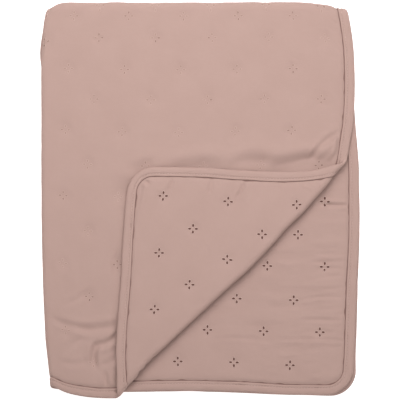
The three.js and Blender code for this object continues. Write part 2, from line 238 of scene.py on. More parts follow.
# how far the cloth round that fold bulges towards the corner
def turnedBulge(u, v, past):
    x, y, z = foldInFour(u, v, 0 * u)
    along = (x - turned["point"][0]) * towardsCorner[1] - (y - turned["point"][1]) * towardsCorner[0]
    away = np.maximum(np.maximum(-past, past - math.pi * turned["radius"]), 0)
    return (1 - smooth(away, 0, turned["bulgeRun"])) * readTable(turnedEdge, "along", "bulge", along)


def place(u, v, n):
    u, v, n = np.broadcast_arrays(np.asarray(u, float), np.asarray(v, float), np.asarray(n, float))
    x, y, z = foldInFour(u, v, n)
    onTop = (u > leftTurn) & (v > topTurn)
    past = np.where(onTop, np.maximum(pastTurn(u, v), 0), 0)
    halfTurn = math.pi * turned["radius"]
    turn = np.minimum(past, halfTurn) / turned["radius"]
    beyond = np.maximum(past - halfTurn, 0)
    slack = 2 * turned["radius"] - cloth["thickness"] - cloth["layerGap"]
    settled = slack * smooth(beyond, 0, turned["settleRun"])
    radius = turned["radius"] - n
    shift = radius * np.sin(turn) - past - beyond
    x = np.where(past > 0, x + shift * towardsCorner[0], x)
    y = np.where(past > 0, y + shift * towardsCorner[1], y)
    z = np.where(past > 0, z - n + turned["radius"] - radius * np.cos(turn) - settled, z)
    bulge = np.where(onTop, turnedBulge(u, v, pastTurn(u, v)), 0)
    x = x + bulge * towardsCorner[0]
    y = y + bulge * towardsCorner[1]
    return np.stack([x, y, z * swell(x, y)], -1)


# how far inside the edge of the flat throw a point lies
def inwards(u, v):
    beyondU = abs(u) - straightU
    beyondV = abs(v) - straightV
    rounded = np.hypot(np.maximum(beyondU, 0), np.maximum(beyondV, 0))
    return cloth["cornerRadius"] - rounded - np.minimum(np.maximum(beyondU, beyondV), 0)


# moves the soft noises away from the folds, where u and v are 0
noiseShift = 900


# soft seeded noise from -1 to 1 with bumps about size across
def softNoise(u, v, size, seed):
    rng = np.random.default_rng(seed)
    table = rng.uniform(-1, 1, (64, 64))
    gridU = u / size
    gridV = v / size
    lowU = np.floor(gridU).astype(int)
    lowV = np.floor(gridV).astype(int)
    partU = gridU - lowU
    partV = gridV - lowV
    partU = partU * partU * (3 - 2 * partU)
    partV = partV * partV * (3 - 2 * partV)
    at = lambda i, j: table[(lowU + i) % 64, (lowV + j) % 64]
    return mix(mix(at(0, 0), at(1, 0), partU), mix(at(0, 1), at(1, 1), partU), partV)


# The rows of eyelets: where each lies at the fold and at the far edge, its first eyelet and their spacing
outerRows = namedRows(("v", "farV", "first", "pitch"), [
    (-5.0, -5.0, -0.3, 72.9),
    (16.1, 16.8, 39.2, 71.6),
    (43.7, 44.5, -0.3, 72.9),
    (83.0, 86.0, 34.0, 71.8),
    (120.5, 125.5, -6.0, 72.7),
    (161.0, 167.0, 30.5, 73.0),
    (202.5, 212.0, -16.0, 75.8),
    (246.0, 240.0, 28.2, 73.3),
    (290.0, 278.6, -13.0, 74.1),
    (333.0, 322.0, 26.5, 73.1),
    (372.5, 365.5, -13.5, 74.2),
    (418.5, 408.0, 27.0, 73.0),
    (456.0, 451.0, -13.6, 75.0),
])
innerRows = namedRows(("v", "farV", "first", "pitch"), [
    (44.0, 44.0, 66.0, 72.9),
    (86.0, 86.0, 31.0, 72.9),
    (127.0, 127.0, 66.0, 72.9),
    (169.0, 169.0, 31.0, 72.9),
    (211.0, 211.0, 31.0, 72.9),
    (252.4, 252.4, 64.8, 72.9),
    (295.4, 295.4, 31.2, 72.9),
    (338.5, 335.6, 66.2, 73.0),
    (383.0, 378.0, 28.3, 72.9),
    (423.5, 419.0, 64.1, 72.6),
    (462.5, 462.0, 23.2, 73.4),
])
# the room an eyelet keeps from the edge and from the left fold, how far past the fold a row may start
rowLimits = {"edgeRoom": 22.0, "foldRoom": 3.0, "pastFold": 2.0, "mostSteps": 8}


def eyeletsOf(rows, side, upper):
    points = []
    for row in rows:
        for step in range(rowLimits["mostSteps"]):
            u = row["first"] + step * row["pitch"]
            v = mix(row["v"], row["farV"], u / halfWidth)
            if inwards(u, v) > rowLimits["edgeRoom"] and u > -rowLimits["pastFold"]:
                points.append((side * max(u, rowLimits["foldRoom"]), v if upper else -v))
    return np.array(points)


outerEyelets = eyeletsOf(outerRows, 1, True)
innerEyelets = eyeletsOf(innerRows, -1, True)
underEyelets = eyeletsOf(outerRows, 1, False)
eyelets = np.concatenate([outerEyelets, innerEyelets, underEyelets])
print("folding laid out,", len(eyelets), "eyelets")

# The quilted panel

quilt = {
    "cell": 9.0,
    "shownCells": (4.6, 2.4),
    "rimLines": (2.6, 7.5, 12.3, 13.0, 14.0, 15.3, 17.0, 19.5, 22.5),  # from the edge inwards
    "foldSteps": 12,
    "turnStep": 1.3,
    "cornerStep": 9,
    "bindingGap": 0.4,
    "boundHalf": 1.25,
    "puffRun": 5.0,
    "groove": 0.6,
    "grooveAt": 0.7,
    "grooveWidth": 1.1,
    "reliefRun": 8.0,
    "puff": 0.3,
    "pinchDepth": 0.85,
    "pinchRadius": 9.0,
    "hollowDepth": 0.3,
    "hollowRadius": 20.0,
    "unevenness": 0.32,
    "streaks": 0.55,
    "streaksFrom": 150.0,
    "streaksFull": 330.0,
    "puckerHeight": 0.34,
    "puckerPitch": 7.5,
    "puckerDrift": 1.6,
    "puckerDriftSize": 19.0,
    "puckerRun": 24.0,
    "puckerPatch": 38.0,
    "puckerStrength": (0.05, 1.3),
    "endPuckers": 0.25,
    "outerEndPuckers": 0.05,
    "leastHalf": -1.1,  # no crease goes deeper than this
    "leastHalfRise": 2.0,
    "leastHalfFrom": 22.0,
}
binding = {
    "width": 12.5,
    "clothHalf": 1.5,
    "back": 2.2,
    "slotFloor": 2.4,  # the raw edge of the panel lies in front of this
    "seam": 9.2,
    "seamWidth": 0.9,
    "stitchPitch": 3.9,
    "station": 3.0,
    "fineStation": 0.9,
    "cornerDegrees": 4.5,
    "crestAt": 6.0,
    "crestWidth": 3.8,
    "puckerPitch": 9.0,
    "puckerLean": 0.05,
    "puckerDrift": 0.7,
    "puckerHeight": 0.035,
    "unevenness": 0.05,
    "stitchPull": 0.16,
    "evenPull": 0.2,
    "gatherPull": 0.9,
    "innerWaver": 0.22,
    "outerWaver": 0.35,
}
# the noises along the strip
stripNoises = {
    "drift": {"shift": 50, "size": 30, "seed": 5},
    "patches": {"shift": 10, "size": 55, "seed": 6},
    "uneven": {"shift": 80, "size": 22, "seed": 9},
    "gather": {"shift": 30, "size": 9, "seed": 31},
    "innerEdge": {"shift": 40, "size": 7, "seed": 12},
    "outerEdge": {"shift": 20, "size": 26, "seed": 14},
}

# the main creases, placed on the flat cloth: the side they show on, their ends, how far the middle
# bows out, width and depth
creases = namedRows(("side", "fromU", "fromV", "toU", "toV", "bow", "width", "depth"), [
    ("top", 96, 236, 160, 214, 8, 10, 1.5),
    ("top", 112, 212, 152, 197, 2, 6, 1.1),
    ("top", 120, 226, 300, 226, 0, 14, 2.9),
    ("top", 260, 226, 410, 219, 0, 15, 3.1),
    ("top", 164, 211, 240, 207, -3, 8, 2.4),
    ("top", 246, 207, 308, 207, -4, 8, 2.6),
    ("top", 298, 215, 366, 203, -2, 8, 3.0),
    ("top", 330, 208, 394, 203, 0, 8, 1.8),
    ("top", 350, 209, 385, 166, -4, 3.6, 2.0),
    ("top", 381, 168, 379, 206, -8, 3.0, 1.9),
    ("top", 10, 408, 62, 414, 0, 4, 1.2),
    ("top", 44, 414, 98, 406, 1, 4.6, 1.7),
    ("top", 98, 418, 66, 434, -3, 3.6, 2.2),
    ("top", 72, 426, 64, 462, 5, 3.6, 2.9),
    ("top", 98, 446, 72, 458, -2, 3.2, 0.9),
    ("top", 76, 466, 77, 490, 0, 2.8, 1.7),
    ("top", 16, 462, 60, 452, 2, 3.6, 0.6),
    ("top", 24, 450, 52, 424, -4, 3.4, 0.7),
    ("top", 26, 386, 64, 362, 1, 3.2, 0.6),
    ("top", 100, 312, 97, 348, 0, 5, 1.2),
    ("top", 98, 392, 94, 452, 0, 6, 2.4),
    ("top", 95, 462, 93, 490, 0, 4, 2.0),
    ("top", 368, 10, 387, 24, 2, 1.7, 0.55),
    ("top", 369, 17, 387, 32, 2, 1.7, 0.6),
    ("top", 370, 25, 387, 41, 2, 1.8, 0.5),
    ("top", 366, 3, 386, 16, 2, 1.8, 0.5),
    ("flap", 387, 345, 362, 356, 1.5, 2.0, 2.4),
    ("flap", 388, 441, 366, 445, 0, 2.0, 1.6),
    ("flap", 388, 389, 366, 391, 0, 2.4, 1.3),
    ("flap", 384, 481, 376, 471, 0, 2.4, 2.2),
    ("flap", 340, 487, 384, 483, -3, 2.2, 0.9),
    ("flap", 303, 399, 287, 390, 2, 1.4, 0.35),
    ("low", -352, 256, -387, 255, -1, 2.2, 2.8),
    ("low", -356, 262, -387, 264, 1, 2.6, 0.6),
    ("low", -345, 320, -387, 319, 1, 1.6, 0.6),
    ("low", -338, 330, -387, 327, -1, 1.7, 0.75),
    ("low", -350, 339, -387, 338, 1, 1.6, 0.6),
    ("low", -342, 352, -387, 346, 1, 1.8, 0.8),
    ("low", -352, 363, -387, 361, -1, 1.6, 0.6),
    ("low", -326, 379, -387, 374, 2, 1.8, 0.8),
    ("low", -348, 391, -387, 389, 1, 1.7, 0.5),
    ("low", -330, 404, -387, 405, 1, 2.0, 0.75),
    ("low", -350, 419, -387, 419, 0, 1.7, 0.5),
    ("low", -300, 430, -386, 431, 2, 2.0, 0.6),
    ("low", -222, 432, -300, 434, 2, 2.2, 0.5),
    ("low", -225, 330, -268, 352, 4, 4.0, 0.5),
])
creaseForm = {"overrun": 0.12, "taper": 0.3, "ridgeAt": 2.0, "ridgeSpread": 0.8, "ridgeShare": 0.4}


# lowers the cloth by up to 1 along a soft line, with a low ridge on each side
def creaseShape(u, v, crease):
    start = np.array([crease["fromU"], crease["fromV"]], float)
    end = np.array([crease["toU"], crease["toV"]], float)
    along = end - start
    length = np.hypot(*along)
    along = along / length
    across = np.array([-along[1], along[0]])
    t = ((u - start[0]) * along[0] + (v - start[1]) * along[1]) / length
    bow = crease["bow"] * 4 * np.clip(t, 0, 1) * (1 - np.clip(t, 0, 1))
    off = ((u - start[0]) * across[0] + (v - start[1]) * across[1] - bow) / crease["width"]
    overrun = creaseForm["overrun"]
    taper = creaseForm["taper"]
    ends = smooth(t, -overrun, taper) * (1 - smooth(t, 1 - taper, 1 + overrun))
    ridge = np.exp(-((abs(off) - creaseForm["ridgeAt"]) ** 2) / creaseForm["ridgeSpread"])
    return ends * (np.exp(-off * off) - creaseForm["ridgeShare"] * ridge)


# the strips along u and v, and past the turned fold, where the relief of a side comes in or ends
shownStrips = {
    "top": {"u": (-14, -4), "v": (-6, 2), "past": (9, 20)},
    "flap": {"v": (20, 60), "past": (5, 12)},
    "low": {"v": (60, 120), "past": (-40, -24)},
}


# how much of the relief shows on each side of the cloth, so that hidden layers lie plain and apart
def shownShare(u, v, side):
    if side == "under":
        return 1.0 * (u > 0) * (v < 0)
    strips = shownStrips[side]
    alongV = smooth(v, *strips["v"])
    past = smooth(pastTurn(abs(u), v), *strips["past"])
    if side == "top":
        return alongV * smooth(u, *strips["u"]) * (1 - past)
    return (u > 0 if side == "flap" else u < 0) * past * alongV


# the noises that make the cloth uneven, and those that streak the lower layer along u
unevenNoises = namedRows(("shift", "size", "share", "seed"), [
    (900, 31, 1.0, 0),
    (700, 15, 0.5, 20),
    (500, 6.5, 0.16, 40),
])
streakNoises = namedRows(("stretch", "size", "share", "seed"), [
    (5, 9, 1.0, 51),
    (3, 4.5, 0.5, 52),
])
seeds = {"low": 3, "top": 4, "flap": 4, "puckerDrift": 21, "puckerPatches": 33}


def softRelief(u, v, seed):
    total = 0.0
    for noise in unevenNoises:
        bumps = softNoise(u + noise["shift"], v + noiseShift, noise["size"], seed + noise["seed"])
        total = total + noise["share"] * bumps
    return quilt["unevenness"] * total


def streaks(u, v):
    total = 0.0
    for noise in streakNoises:
        bumps = softNoise(u / noise["stretch"] + noiseShift, v + noiseShift, noise["size"], noise["seed"])
        total = total + noise["share"] * bumps
    return quilt["streaks"] * total * smooth(abs(u), quilt["streaksFrom"], quilt["streaksFull"])


# puckers that run inwards from the binding, in patches, and weaker at the bottom ends than at the sides
def puckers(u, v, inside):
    runsDown = (halfWidth - abs(u)) < (halfLength - abs(v))
    along = np.where(runsDown, v, u)
    drift = softNoise(along + noiseShift, inside * 0.7 + 300, quilt["puckerDriftSize"], seeds["puckerDrift"])
    wander = along / quilt["puckerPitch"] + quilt["puckerDrift"] * drift
    patches = softNoise(u + noiseShift, v + noiseShift, quilt["puckerPatch"], seeds["puckerPatches"])
    strength = np.clip(0.5 + 0.8 * patches, *quilt["puckerStrength"])
    run = quilt["puckerRun"] * (0.6 + 0.6 * strength)
    fade = np.exp(-np.maximum(inside - binding["width"], 0) / run)
    share = np.where(runsDown, 1, np.where(u > 0, quilt["outerEndPuckers"], quilt["endPuckers"]))
    return quilt["puckerHeight"] * share * strength * fade * np.sin(2 * math.pi * wander)


# half the thickness of the quilted cloth towards its back (1) or its front (-1) at points of the flat cloth
def panelHalf(u, v, face):
    inside = inwards(u, v)
    fromBinding = inside - binding["width"]
    bound = quilt["boundHalf"]
    rise = 1 - np.exp(-np.maximum(fromBinding - quilt["bindingGap"], 0) / quilt["puffRun"])
    half = bound + (halfThick - bound) * rise
    groove = quilt["groove"] * np.exp(-((fromBinding - quilt["grooveAt"]) / quilt["grooveWidth"]) ** 2)
    away = smooth(fromBinding, 0, quilt["reliefRun"])
    gaps = np.full(u.shape, 1e6)
    for centre in eyelets:
        gaps = np.minimum(gaps, (u - centre[0]) ** 2 + (v - centre[1]) ** 2)
    gaps = np.sqrt(gaps)
    pinch = quilt["pinchDepth"] * np.exp(-(gaps / quilt["pinchRadius"]) ** 3)
    hollow = quilt["hollowDepth"] * np.exp(-(gaps / quilt["hollowRadius"]) ** 2)
    for side in ("top", "under") if face > 0 else ("flap", "low"):
        shown = shownShare(u, v, side)
        relief = quilt["puff"] - pinch - hollow
        if side == "under":
            half = half + shown * away * np.minimum(relief, 0)
            continue
        relief = relief + softRelief(u, v, seeds[side]) + puckers(u, v, inside)
        if side == "low":
            relief = relief + streaks(u, v)
        for crease in creases:
            if crease["side"] == side:
                relief = relief - crease["depth"] * creaseShape(u, v, crease)
        half = half + shown * (away * relief - groove)
    nearRim = 1 - smooth(inside, binding["width"], quilt["leastHalfFrom"])
    return np.maximum(half, quilt["leastHalf"] + quilt["leastHalfRise"] * nearRim)


# where the lines of the flat grid lie between a fold and the edge, closer together at the binding
def gridLines(edge, foldEdge):
    rim = edge - np.array(quilt["rimLines"])
    inner = rim[-1] - quilt["cell"] / 2
    count = max(int(round((inner - foldEdge) / quilt["cell"])), 1)
    return np.concatenate([np.linspace(foldEdge, inner, count + 1)[1:], rim[::-1]])


# the flat panel as quads, with its corners rounded off by planes that touch their arcs
def flatPanel():
    half = np.linspace(-1, 1, quilt["foldSteps"] + 1)
    lineU = gridLines(halfWidth, leftTurn)
    lineV = gridLines(halfLength, topTurn)
    lineU = np.concatenate([-lineU[::-1], half * leftTurn, lineU])
    lineV = np.concatenate([-lineV[::-1], half * topTurn, lineV])
    flat = bmesh.new()
    rows = [[flat.verts.new((u, v, 0)) for u in lineU] for v in lineV]
    for low, high in zip(rows, rows[1:]):
        for a, b, c, d in zip(low, low[1:], high[1:], high):
            flat.faces.new((a, b, c, d))
    radius = cloth["cornerRadius"] - binding["back"] - quilt["bindingGap"]
    cornerReach = 12
    for sideU in (-1, 1):
        for sideV in (-1, 1):
            centre = Vector((sideU * straightU, sideV * straightV, 0))
            for degrees in range(quilt["cornerStep"], 90, quilt["cornerStep"]):
                angle = math.radians(degrees)
                outward = Vector((sideU * math.cos(angle), sideV * math.sin(angle), 0))
                cutAlong(flat, centre + outward * radius, outward, cornerReach, clearOuter=True)
    return flat


# cuts the flat mesh along a line, looking only at the faces near it
def cutAlong(flat, point, across, reach, isNear=None, clearOuter=False):
    near = []
    for face in flat.faces:
        middle = face.calc_center_median()
        off = (middle - point).dot(across)
        isReached = off > -reach if clearOuter else abs(off) < reach
        if isReached and (isNear is None or isNear(middle)):
            near.append(face)
    geometry = list(dict.fromkeys(item for face in near for item in (face, *face.edges, *face.verts)))
    snap = 0.06
    bmesh.ops.bisect_plane(
        flat, geom=geometry, dist=snap, plane_co=point, plane_no=across, clear_outer=clearOuter
    )


# halves the long edges that show on a face, but leaves the border as it is
def refine(flat, face, longest):
    ends = np.array([[vert.co[:2] for vert in edge.verts] for edge in flat.edges])
    middle = ends.mean(1)
    length = np.hypot(*(ends[:, 1] - ends[:, 0]).T)
    u, v = middle[:, 0], middle[:, 1]
    sides = ("top",) if face > 0 else ("flap", "low")
    barely = 0.02
    shown = np.maximum.reduce([shownShare(u, v, side) for side in sides]) > barely
    shown &= inwards(u, v) > binding["width"] - 1
    chosen = shown & (length > longest)
    edges = [edge for edge, isChosen in zip(flat.edges, chosen) if isChosen and not edge.is_boundary]
    bmesh.ops.subdivide_edges(flat, edges=edges, cuts=1, use_grid_fill=True)


# one face of the panel: finer cells where it shows, and narrow ones across the turned corner's fold
def facePanel(flat, face):
    for longest in quilt["shownCells"]:
        refine(flat, face, longest)
    across = Vector((towardsCorner[0], -towardsCorner[1], 0)).normalized()
    # the grid point nearest to the start of that fold is where the cuts are measured from
    spotsU, spotsV = np.meshgrid(np.linspace(120, 380, 27), np.linspace(200, 480, 29))
    off = pastTurn(spotsU, spotsV)
    spot = np.unravel_index(np.argmin(abs(off)), off.shape)
    start = Vector((spotsU[spot], spotsV[spot], 0)) - across * float(off[spot])
    onTop = lambda middle: middle.x > leftTurn and middle.y > topTurn
    before, after, reach = 4, 6, 8
    for level in np.arange(-before, math.pi * turned["radius"] + after, quilt["turnStep"]):
        cutAlong(flat, start + across * float(level), across, reach, onTop)
    bmesh.ops.triangulate(flat, faces=[f for f in flat.faces if len(f.verts) > 4])
    flat.normal_update()
    flat.verts.index_update()
    points = np.array([vert.co[:2] for vert in flat.verts])
    loops = []
    for polygon in flat.faces:
        loop = [vert.index for vert in polygon.verts]
        loops.append(loop if polygon.normal.z > 0 else loop[::-1])
    flat.free()
    return points, loops


def borderOf(loops):
    edges = dict.fromkeys(pair for loop in loops for pair in zip(loop, loop[1:] + loop[:1]))
    return [(a, b) for a, b in edges if (b, a) not in edges]


frameShift = np.zeros(3)


def addObject(name, data):
    added = bpy.data.objects.new(name, data)
    bpy.context.scene.collection.objects.link(added)
    return added


def makeMesh(name, points, faces, uvs, material):
    mesh = bpy.data.meshes.new(name)
    mesh.from_pydata((np.asarray(points) + frameShift) * mm, [], faces)
    layer = mesh.uv_layers.new(name="cloth")
    loops = np.zeros(len(mesh.loops), int)
    mesh.loops.foreach_get("vertex_index", loops)
    layer.data.foreach_set("uv", (np.asarray(uvs)[loops] * mm).ravel())
    mesh.polygons.foreach_set("use_smooth", np.ones(len(mesh.polygons), bool))
    mesh.materials.append(material)
    mesh.update()
    return addObject(name, mesh)


def quiltPoints():
    flat = flatPanel()
    backFlat, backLoops = facePanel(flat.copy(), 1)
    frontFlat, frontLoops = facePanel(flat, -1)
    back = place(backFlat[:, 0], backFlat[:, 1], panelHalf(backFlat[:, 0], backFlat[:, 1], 1))
    front = place(frontFlat[:, 0], frontFlat[:, 1], -panelHalf(frontFlat[:, 0], frontFlat[:, 1], -1))
    count = len(back)
    loops = [loop[::-1] for loop in backLoops]
    loops += [[count + index for index in loop] for loop in frontLoops]
    spotOf = lambda point: (round(point[0], 2), round(point[1], 2))
    ofFront = {spotOf(frontFlat[index]): count + index for edge in borderOf(frontLoops) for index in edge}
    for a, b in borderOf(backLoops):
        loops.append([ofFront[spotOf(backFlat[a])], a, b, ofFront[spotOf(backFlat[b])]])
    return np.concatenate([back, front]), loops, np.concatenate([backFlat, frontFlat])


# The binding: a strip folded over the edge, as stations round the throw with a rounded section

def bindingStations():
    radius = cloth["cornerRadius"]
    leastStation = 0.5
    foldRoom = 1.5
    turnRoom = 2
    # anticlockwise from the upper right corner: each corner's arc, then the straight that follows it
    stations = []
    corners = [(1, 1, 0), (-1, 1, 90), (-1, -1, 180), (1, -1, 270)]
    for sideU, sideV, startAngle in corners:
        centre = np.array([sideU * straightU, sideV * straightV])
        for degrees in np.arange(0, 90, binding["cornerDegrees"]):
            angle = math.radians(startAngle + degrees)
            outward = np.array([math.cos(angle), math.sin(angle)])
            stations.append((*(centre + radius * outward), *outward))
        angle = math.radians(startAngle + 90)
        outward = np.array([math.cos(angle), math.sin(angle)])
        along = np.array([-outward[1], outward[0]])
        start = centre + radius * outward
        length = 2 * (straightU if abs(outward[1]) > 0.5 else straightV)
        done = 0.0
        while done < length - leastStation:
            at = start + along * done
            stations.append((*at, *outward))
            inner = at - outward * binding["width"]
            pasts = [float(pastTurn(np.float64(p[0]), np.float64(p[1]))) for p in (at, inner)]
            onTop = at[0] > leftTurn and at[1] > topTurn
            isPast = max(pasts) > -turnRoom
            turning = onTop and isPast and min(pasts) < math.pi * turned["radius"] + turnRoom
            atLeftFold = abs(at[0]) < leftTurn + foldRoom and abs(outward[1]) > 0.5
            atTopFold = abs(at[1]) < topTurn + foldRoom and abs(outward[0]) > 0.5
            folding = atLeftFold or atTopFold
            done += binding["fineStation"] if turning or folding else binding["station"]
    return np.array(stations)


bindingSection = namedRows(("w", "n"), [
    (12.5, 1.62), (12.65, 1.9), (12.35, 2.2), (11.2, 2.34), (10.0, 2.26),
    (9.2, 1.94), (8.4, 2.26), (7.0, 2.5), (5.4, 2.52), (3.8, 2.45),
    (2.3, 2.2), (1.1, 1.7), (0.35, 0.95), (0.0, 0.0),
])


def bindingPoints():
    stations = bindingStations()
    steps = np.hypot(*np.diff(stations[:, :2], axis=0).T)
    along = np.concatenate([[0], np.cumsum(steps)])
    outside = [(row["w"], row["n"]) for row in bindingSection]
    section = outside + [(w, -n) for w, n in outside[-2::-1]]
    slotHalf = binding["clothHalf"]
    slot = [(binding["width"], -slotHalf), (binding["slotFloor"], -slotHalf)]
    slot += [(w, -n) for w, n in slot[::-1]]
    section = np.array(section + slot)
    count = len(section)
    w = np.tile(section[:, 0], (len(stations), 1))
    n = np.tile(section[:, 1], (len(stations), 1))
    at = along[:, None]
    isSkin = (np.arange(count) < count - len(slot))[None, :]
    side = np.sign(n)

    def noiseOf(name, across=side * 40 + 90):
        noise = stripNoises[name]
        return softNoise(at + noise["shift"], across, noise["size"], noise["seed"])

    # the strip's crown is rippled and uneven
    crest = np.exp(-((w - binding["crestAt"]) / binding["crestWidth"]) ** 2)
    turns = at / binding["puckerPitch"] + binding["puckerLean"] * w
    turns = turns + binding["puckerDrift"] * noiseOf("drift")
    ripple = np.sin(2 * math.pi * turns) * np.clip(0.6 + 0.6 * noiseOf("patches"), 0, 1.2)
    uneven = binding["puckerHeight"] * ripple + binding["unevenness"] * noiseOf("uneven")
    n = n * np.where(isSkin, 1 + crest * uneven, 1)
    # the stitches draw it in along the seam, and more where it is gathered
    gather = np.clip(noiseOf("gather"), 0, 1) ** 2
    stitched = np.sin(2 * math.pi * at / binding["stitchPitch"])
    pull = binding["evenPull"] + binding["stitchPull"] * stitched + binding["gatherPull"] * gather
    atSeam = np.exp(-((w - binding["seam"]) / binding["seamWidth"]) ** 2)
    n = n - side * np.where(isSkin, pull * atSeam, 0)
    # its inner and outer edges waver
    atInner = np.exp(-((w - 12.4) / 1.2) ** 2)
    w = w + np.where(isSkin, atInner * binding["innerWaver"] * noiseOf("innerEdge"), 0)
    atOuter = np.exp(-(w / 2.5) ** 2)
    w = w - np.where(isSkin, atOuter * binding["outerWaver"] * noiseOf("outerEdge", 0 * at), 0)
    u = stations[:, 0][:, None] - stations[:, 2][:, None] * w
    v = stations[:, 1][:, None] - stations[:, 3][:, None] * w
    lowest = np.where((v < 0) & (u > 0), halfThick, 1e6)
    points = place(u, v, np.minimum(n, lowest)).reshape(-1, 3)
    uvs = np.stack([np.broadcast_to(at, w.shape), w + 20 * (side < 0)], -1).reshape(-1, 2)
    faces = []
    rings = len(stations)
    for ring in range(rings):
        near = ring * count
        far = (ring + 1) % rings * count
        for corner in range(count):
            after = (corner + 1) % count
            faces.append([near + corner, far + corner, far + after, near + after])
    return points, faces, uvs


# Shader maths as plain expressions

class Wire:
    def __init__(self, shader, socket):
        self.shader = shader
        self.socket = socket

    def math(self, operation, other=0.0, swapped=False):
        pair = [other, self] if swapped else [self, other]
        return self.shader.add("ShaderNodeMath", {"operation": operation}, pair)

    def limit(self, low, high):
        return self.math("MAXIMUM", low).math("MINIMUM", high)

    def __add__(self, other):
        return self.math("ADD", other)

    def __sub__(self, other):
        return self.math("SUBTRACT", other)

    def __rsub__(self, other):
        return self.math("SUBTRACT", other, True)

    def __mul__(self, other):
        return self.math("MULTIPLY", other)

    def __truediv__(self, other):
        return self.math("DIVIDE", other)

    def __pow__(self, other):
        return self.math("POWER", other)

    def sine(self):
        return self.math("SINE")

    def absolute(self):
        return self.math("ABSOLUTE")


class Shader:
    def __init__(self, name):
        self.material = bpy.data.materials.new(name)
        self.material.use_nodes = True
        self.tree = self.material.node_tree
        self.surface = self.tree.nodes["Principled BSDF"]

    # adds any node: its settings first, then values or wires for its inputs
    def add(self, kind, settings=None, inputs=(), output=0):
        node = self.tree.nodes.new(kind)
        for key, value in (settings or {}).items():
            if key == "stops":
                while len(node.color_ramp.elements) < len(value):
                    node.color_ramp.elements.new(0.5)
                for element, (at, color) in zip(node.color_ramp.elements, value):
                    element.position = at
                    element.color = (*color, 1)
            else:
                setattr(node, key, value)
        pairs = inputs.items() if isinstance(inputs, dict) else enumerate(inputs)
        for key, value in pairs:
            self.feed(node.inputs[key], value)
        return Wire(self, node.outputs[output])

    def feed(self, socket, value):
        if isinstance(value, Wire):
            self.tree.links.new(value.socket, socket)
        else:
            socket.default_value = value

    def set(self, name, value):
        self.feed(self.surface.inputs[name], value)

    def noise(self, scale, detail, roughness=0.5, at=None):
        inputs = {"Vector": at or self.flat, "Scale": scale, "Detail": detail, "Roughness": roughness}
        return self.add("ShaderNodeTexNoise", {}, inputs)


# painted shadow: a thin uneven dark line painted into the colour where the binding is sewn down, at its
# inner edge, for the shade in the gap there, wider where the seam is gathered
def paintedSeamShadow(shader, u, v, color, seam):
    beyondU = u.absolute() - straightU * mm
    beyondV = v.absolute() - straightV * mm
    rounded = (beyondU.math("MAXIMUM", 0.0) ** 2.0 + beyondV.math("MAXIMUM", 0.0) ** 2.0) ** 0.5
    inside = cloth["cornerRadius"] * mm - rounded - beyondU.math("MAXIMUM", beyondV).math("MINIMUM", 0.0)
    gathers = shader.noise(seam["gathers"], 1.0)
    gatheredShade = (gathers - seam["gatheredLevel"]).math("MAXIMUM", 0.0) ** 1.5
    width = gatheredShade * (seam["gatheredWidth"] * mm) + seam["width"] * mm
    off = (inside - seam["at"] * mm).absolute() / width
    amount = (seam["reach"] - off).limit(0.0, seam["strength"])
    both = shader.add("ShaderNodeMix", {"data_type": "RGBA"}, {"Factor": amount}, 2)
    mixer = both.socket.node
    shader.feed(mixer.inputs[6], color)
    mixer.inputs[7].default_value = (*seam["color"], 1)
    return both


def clothMaterial(name, look):
    shader = Shader(name)
    shader.flat = shader.add("ShaderNodeTexCoord", output=look["coords"])
    large = shader.noise(**noises["mottle"])
    small = shader.noise(**noises["grain"])
    drawnOut = shader.add("ShaderNodeMapping", {}, {"Vector": shader.flat, "Scale": slubStretch})
    slubs = shader.noise(**noises["slub"], at=drawnOut)
    u = shader.add("ShaderNodeSeparateXYZ", {}, [shader.flat], "X")
    v = Wire(shader, u.socket.node.outputs["Y"])
    turns = 2 * math.pi / (look["yarn"] * mm)
    warp = (u * turns).sine()
    weft = (v * turns).sine()
    weave = warp * weft * 0.5 + 0.5
    shade = large * look["mottle"] + small * look["grain"]
    shade = shade + slubs * look["slub"] + weave * look["weaveShade"]
    middle = (look["mottle"] + look["grain"] + look["slub"] + look["weaveShade"]) / 2
    amount = (shade - middle) + 0.5
    stops = [(0.0, look["dark"]), (0.5, look["color"]), (1.0, look["light"])]
    color = shader.add("ShaderNodeValToRGB", {"stops": stops}, [amount])
    # paints the shadow in the gap along the seam into the base colour
    if "seam" in look:
        color = paintedSeamShadow(shader, u, v, color, look["seam"])
    shader.set("Base Color", color)
    shader.set("Roughness", small * look["roughSwing"] + (look["roughness"] - look["roughSwing"] / 2))
    shader.set("Sheen Weight", look["sheen"])
    shader.set("Sheen Roughness", look["sheenRoughness"])
    shader.set("Sheen Tint", (*look["light"], 1))
    shader.set("Specular IOR Level", look["specular"])
    yarns = {"Strength": look["weaveBump"], "Distance": depths["yarn"], "Height": weave}
    weaveBump = shader.add("ShaderNodeBump", {}, yarns)
    crumpled = shader.noise(**noises["crinkle"]) * 0.7 + small * 0.3
    crinkles = {"Strength": look["crinkle"], "Distance": depths["crinkle"], "Height": crumpled}
    shader.set("Normal", shader.add("ShaderNodeBump", {}, {**crinkles, "Normal": weaveBump}))
    return shader.material


# the noises that all the cottons share, and how deep their bumps are
noises = {
    "mottle": {"scale": 26.0, "detail": 3.0, "roughness": 0.6},
    "grain": {"scale": 190.0, "detail": 4.0, "roughness": 0.65},
    "slub": {"scale": 1.0, "detail": 2.0},
    "crinkle": {"scale": 105.0, "detail": 3.0, "roughness": 0.55},
}
slubStretch = (90.0, 1400.0, 1.0)
depths = {"yarn": 0.12 * mm, "crinkle": 1.2 * mm}
quiltLook = {
    "color": (0.378, 0.254, 0.222),
    "dark": (0.312, 0.203, 0.173),
    "light": (0.445, 0.312, 0.278),
    "coords": "UV",
    "mottle": 0.2,
    "grain": 0.10,
    "slub": 0.10,
    "weaveShade": 0.06,
    "roughness": 0.88,
    "roughSwing": 0.12,
    "specular": 0.25,
    "sheen": 0.12,
    "sheenRoughness": 0.45,
    "yarn": 0.55,
    "weaveBump": 0.35,
    "crinkle": 0.12,
}
